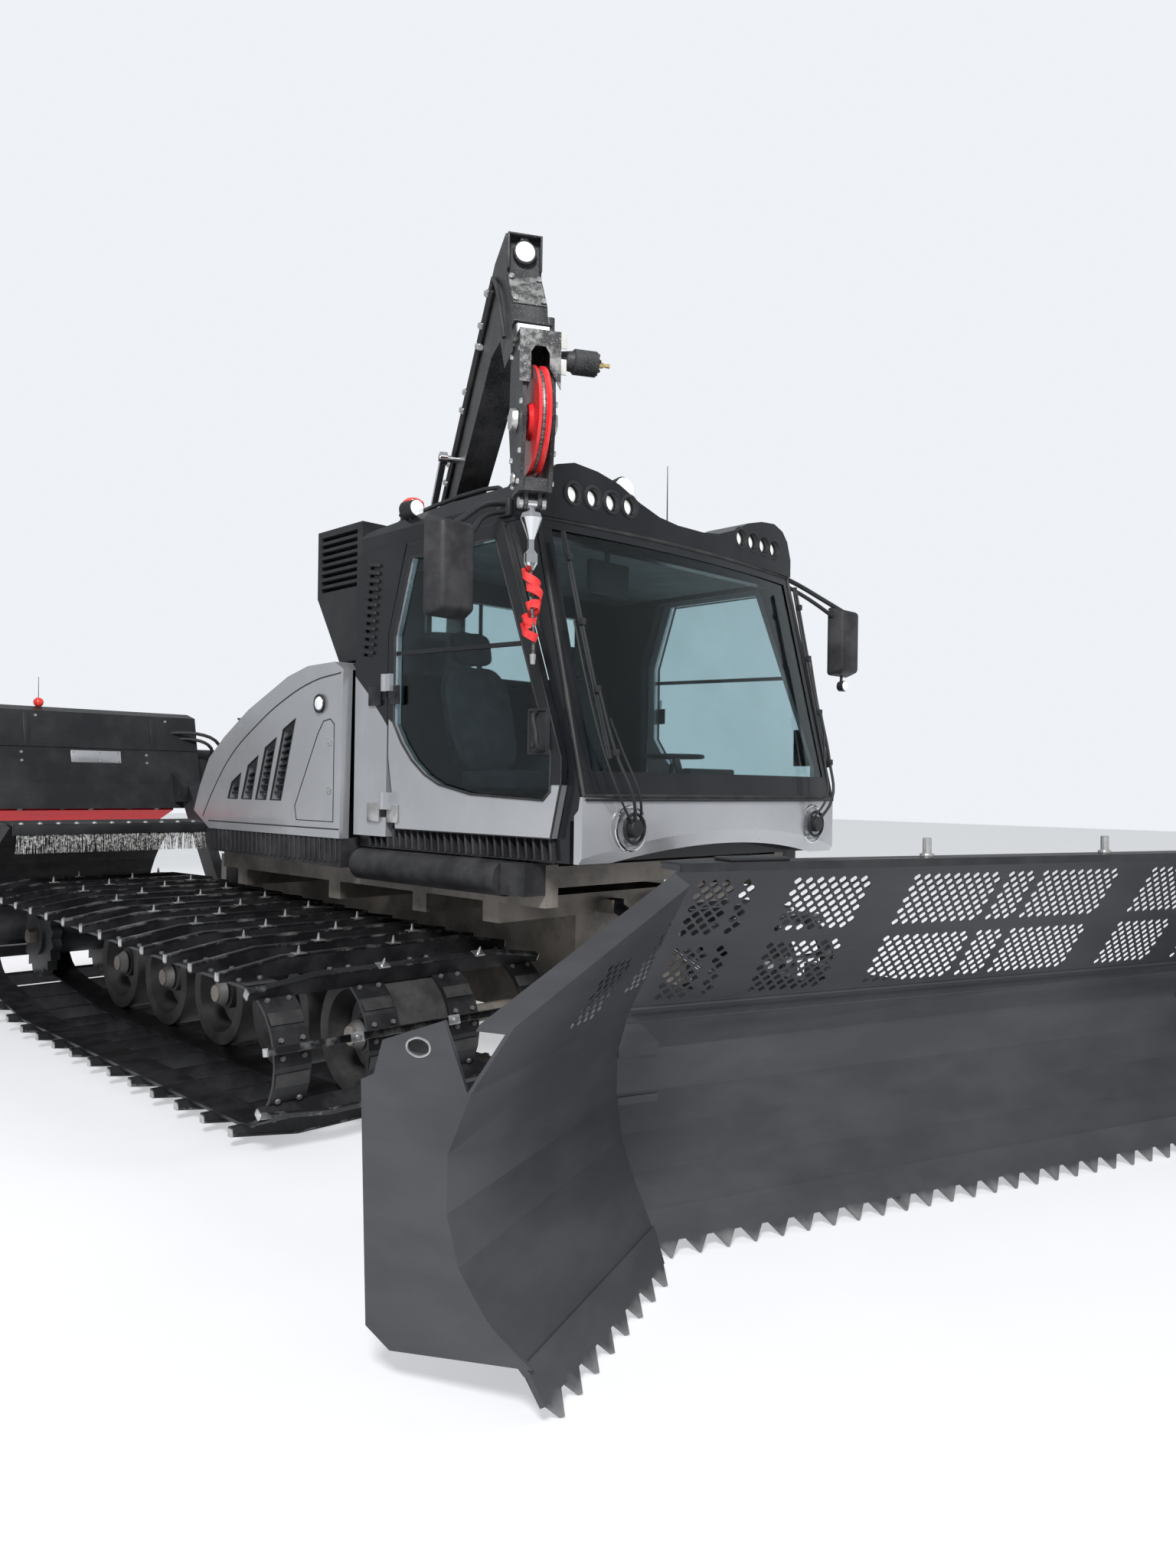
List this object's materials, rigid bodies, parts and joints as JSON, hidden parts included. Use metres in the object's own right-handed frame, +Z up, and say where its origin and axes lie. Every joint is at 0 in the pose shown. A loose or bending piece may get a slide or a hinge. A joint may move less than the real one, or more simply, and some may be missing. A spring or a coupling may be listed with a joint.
{
  "type": "snowcat groomer",
  "caption": "Tracked snow groomer: front blade with two folding wings, winch boom over a cab, rear tiller with combs.",
  "frame": {"origin": "on the ground plane under the centre of the bounding box", "axes": "+X to the machine's left, +Y to its rear, +Z up"},
  "size_m": [5.4454, 9.1984, 4.0076],
  "materials": {
    "black_paint": "matte powder coat",
    "frame_paint": "worn",
    "steel": "matte, scratched",
    "silver_paint": "satin metallic",
    "rubber": "matte",
    "wheel_black": "matte",
    "glass": "clear tinted",
    "trim": "grained",
    "seat": "woven",
    "chrome": "polished",
    "red_paint": "gloss",
    "comb_red": "satin",
    "lamp": "clear",
    "rope": "oiled",
    "cast": "rough"
  },
  "bodies": {
    "machine": {"chassis_frame": "frame_paint", "wheels": "wheel_black", "sprockets": "black_paint", "track_right": "rubber", "track_left": "rubber", "engine_block": "cast", "winch_base": "black_paint", "cab_shell": "black_paint", "quarter_panels": "silver_paint", "roof": "trim", "nose": "silver_paint", "cab_glass": "glass", "seats": "seat", "dashboard": "trim", "rear_body": "silver_paint", "deck": "trim", "intake_box": "trim", "skirts": "trim", "mudguards": "trim", "mirrors": "trim", "lamps": "lamp"},
    "door_right": {"door_right": "silver_paint", "door_glass_right": "glass"},
    "door_left": {"door_left": "silver_paint", "door_glass_left": "glass"},
    "push_frame": {"push_frame": "black_paint"},
    "lift_barrels": {"lift_barrels": "black_paint"},
    "lift_rods": {"lift_rods": "chrome"},
    "blade_carrier": {"blade_carrier": "black_paint"},
    "angle_barrel_right": {"angle_barrel_right": "black_paint"},
    "angle_rod_right": {"angle_rod_right": "chrome"},
    "angle_barrel_left": {"angle_barrel_left": "black_paint"},
    "angle_rod_left": {"angle_rod_left": "chrome"},
    "blade_main": {"blade_main": "steel"},
    "wing_right": {"wing_right": "steel"},
    "wing_barrel_right": {"wing_barrel_right": "black_paint"},
    "wing_rod_right": {"wing_rod_right": "chrome"},
    "wing_left": {"wing_left": "steel"},
    "wing_barrel_left": {"wing_barrel_left": "black_paint"},
    "wing_rod_left": {"wing_rod_left": "chrome"},
    "boom_turret": {"boom_turret": "black_paint"},
    "boom": {"boom": "black_paint"},
    "boom_barrel": {"boom_barrel": "black_paint"},
    "boom_rod": {"boom_rod": "chrome"},
    "sheave": {"sheave": "red_paint"},
    "rope_end": {"rope_end": "chrome", "rope_tail": "rope"},
    "tiller_arms": {"tiller_arms": "black_paint"},
    "tiller_barrels": {"tiller_barrels": "black_paint"},
    "tiller_rods": {"tiller_rods": "chrome"},
    "tiller_head": {"tiller_body": "black_paint", "tiller_comb": "comb_red"},
    "tiller_drum": {"tiller_drum": "cast"}
  },
  "joints": [
    {"name": "door_right_swing", "type": "hinge", "parent": "machine", "child": "door_right", "pos_m": [-1.0673, -0.2, 1.33], "axis": [0, 0, -1], "range_deg": [0, 80]},
    {"name": "door_left_swing", "type": "hinge", "parent": "machine", "child": "door_left", "pos_m": [1.0673, -0.2, 1.33], "axis": [0, 0, 1], "range_deg": [0, 80]},
    {"name": "blade_lift", "type": "hinge", "parent": "machine", "child": "push_frame", "pos_m": [0, -1.06, 0.6], "axis": [-1, 0, 0], "range_deg": [0, 18]},
    {"name": "lift_barrels_turn", "type": "hinge", "parent": "machine", "child": "lift_barrels", "pos_m": [0, -1.07, 0.93], "axis": [-1, 0, 0], "range_deg": [-0.02, 15.78]},
    {"name": "lift_rods_slide", "type": "slide", "parent": "lift_barrels", "child": "lift_rods", "axis": [0, -0.9198, -0.3923], "range_m": [-0.0999, 0.0002]},
    {"name": "blade_angle", "type": "hinge", "parent": "push_frame", "child": "blade_carrier", "pos_m": [0, -2.666, 0.48], "axis": [0, 0, 1], "range_deg": [-1.7, 40.3]},
    {"name": "angle_barrel_right_turn", "type": "hinge", "parent": "push_frame", "child": "angle_barrel_right", "pos_m": [-0.38, -1.95, 0.63], "axis": [0, 0, 1], "range_deg": [-0.14, 2.76]},
    {"name": "angle_rod_right_slide", "type": "slide", "parent": "angle_barrel_right", "child": "angle_rod_right", "axis": [-0.0722, -0.9974, 0], "range_m": [-0.0128, 0.2991]},
    {"name": "angle_barrel_left_turn", "type": "hinge", "parent": "push_frame", "child": "angle_barrel_left", "pos_m": [0.38, -1.95, 0.63], "axis": [0, 0, 1], "range_deg": [-0.24, 5.24]},
    {"name": "angle_rod_left_slide", "type": "slide", "parent": "angle_barrel_left", "child": "angle_rod_left", "axis": [0.0066, -1, 0], "range_m": [-0.292, 0.0125]},
    {"name": "blade_tilt", "type": "hinge", "parent": "blade_carrier", "child": "blade_main", "pos_m": [-0.04958, -2.80757, 0.48], "axis": [0.3305, 0.9438, 0], "range_deg": [-6, 6]},
    {"name": "wing_right_fold", "type": "hinge", "parent": "blade_main", "child": "wing_right", "pos_m": [-1.53513, -2.32972, 0.53], "axis": [0, 0, -1], "range_deg": [-2, 61]},
    {"name": "wing_barrel_right_turn", "type": "hinge", "parent": "blade_main", "child": "wing_barrel_right", "pos_m": [-0.73712, -2.47144, 0.52], "axis": [0, 0, -1], "range_deg": [-0.4, 11.54]},
    {"name": "wing_rod_right_slide", "type": "slide", "parent": "wing_barrel_right", "child": "wing_rod_right", "axis": [-0.9503, 0.3114, 0], "range_m": [-0.1909, 0.0065]},
    {"name": "wing_left_fold", "type": "hinge", "parent": "blade_main", "child": "wing_left", "pos_m": [1.40953, -3.36092, 0.53], "axis": [0, 0, 1], "range_deg": [-2, 61]},
    {"name": "wing_barrel_left_turn", "type": "hinge", "parent": "blade_main", "child": "wing_barrel_left", "pos_m": [0.69746, -2.97382, 0.52], "axis": [0, 0, 1], "range_deg": [-0.4, 11.54]},
    {"name": "wing_rod_left_slide", "type": "slide", "parent": "wing_barrel_left", "child": "wing_rod_left", "axis": [0.9369, -0.3495, 0], "range_m": [-0.1909, 0.0065]},
    {"name": "boom_slew", "type": "hinge", "parent": "machine", "child": "boom_turret", "pos_m": [0, 0.77, 2.46], "axis": [0, 0, 1], "range_deg": [0, 57]},
    {"name": "boom_luff", "type": "hinge", "parent": "boom_turret", "child": "boom", "pos_m": [0.02863, 0.82273, 2.82], "axis": [-0.8788, 0.4772, 0], "range_deg": [0, 35]},
    {"name": "boom_barrel_turn", "type": "hinge", "parent": "boom_turret", "child": "boom_barrel", "pos_m": [-0.23089, 0.69054, 2.74], "axis": [-0.8788, 0.4772, 0], "range_deg": [-0.02, 38.27]},
    {"name": "boom_rod_slide", "type": "slide", "parent": "boom_barrel", "child": "boom_rod", "axis": [-0.4178, -0.7696, 0.4829], "range_m": [-0.0002, 0.1348]},
    {"name": "sheave_spin", "type": "hinge", "parent": "boom", "child": "sheave", "pos_m": [-1.26447, -1.55887, 3.1], "axis": [0.8788, -0.4772, 0], "continuous": true},
    {"name": "rope_hang", "type": "hinge", "parent": "boom", "child": "rope_end", "pos_m": [-1.26447, -1.55887, 2.755], "axis": [-0.8788, 0.4772, 0], "range_deg": [-35, 0]},
    {"name": "tiller_lift", "type": "hinge", "parent": "machine", "child": "tiller_arms", "pos_m": [0, 2.99, 0.7], "axis": [-1, 0, 0], "range_deg": [0, 75]},
    {"name": "tiller_barrels_turn", "type": "hinge", "parent": "machine", "child": "tiller_barrels", "pos_m": [0, 2.96, 0.42], "axis": [-1, 0, 0], "range_deg": [-0.02, 46.48]},
    {"name": "tiller_rods_slide", "type": "slide", "parent": "tiller_barrels", "child": "tiller_rods", "axis": [0, 0.3921, 0.9199], "range_m": [-0.2036, 0.0002]},
    {"name": "tiller_level", "type": "hinge", "parent": "tiller_arms", "child": "tiller_head", "pos_m": [0, 3.54, 1.45], "axis": [-1, 0, 0], "range_deg": [-75, 0]},
    {"name": "drum_spin", "type": "hinge", "parent": "tiller_head", "child": "tiller_drum", "pos_m": [0, 3.97, 1.5], "axis": [1, 0, 0], "continuous": true}
  ],
  "couplings": [
    {"joint": "lift_barrels_turn", "follows": "blade_lift", "ratio": 0.8758},
    {"joint": "lift_rods_slide", "follows": "blade_lift", "m_per_rad": -0.3175},
    {"joint": "angle_barrel_right_turn", "follows": "blade_angle", "ratio": 0.0679},
    {"joint": "angle_rod_right_slide", "follows": "blade_angle", "m_per_rad": 0.425},
    {"joint": "angle_barrel_left_turn", "follows": "blade_angle", "ratio": 0.1295},
    {"joint": "angle_rod_left_slide", "follows": "blade_angle", "m_per_rad": -0.4149},
    {"joint": "wing_barrel_right_turn", "follows": "wing_right_fold", "ratio": 0.1888},
    {"joint": "wing_rod_right_slide", "follows": "wing_right_fold", "m_per_rad": -0.1791},
    {"joint": "wing_barrel_left_turn", "follows": "wing_left_fold", "ratio": 0.1888},
    {"joint": "wing_rod_left_slide", "follows": "wing_left_fold", "m_per_rad": -0.1791},
    {"joint": "boom_barrel_turn", "follows": "boom_luff", "ratio": 1.093},
    {"joint": "boom_rod_slide", "follows": "boom_luff", "m_per_rad": 0.2204},
    {"joint": "rope_hang", "follows": "boom_luff", "ratio": -1},
    {"joint": "tiller_barrels_turn", "follows": "tiller_lift", "ratio": 0.6194},
    {"joint": "tiller_rods_slide", "follows": "tiller_lift", "m_per_rad": -0.1554},
    {"joint": "tiller_level", "follows": "tiller_lift", "ratio": -1}
  ]
}
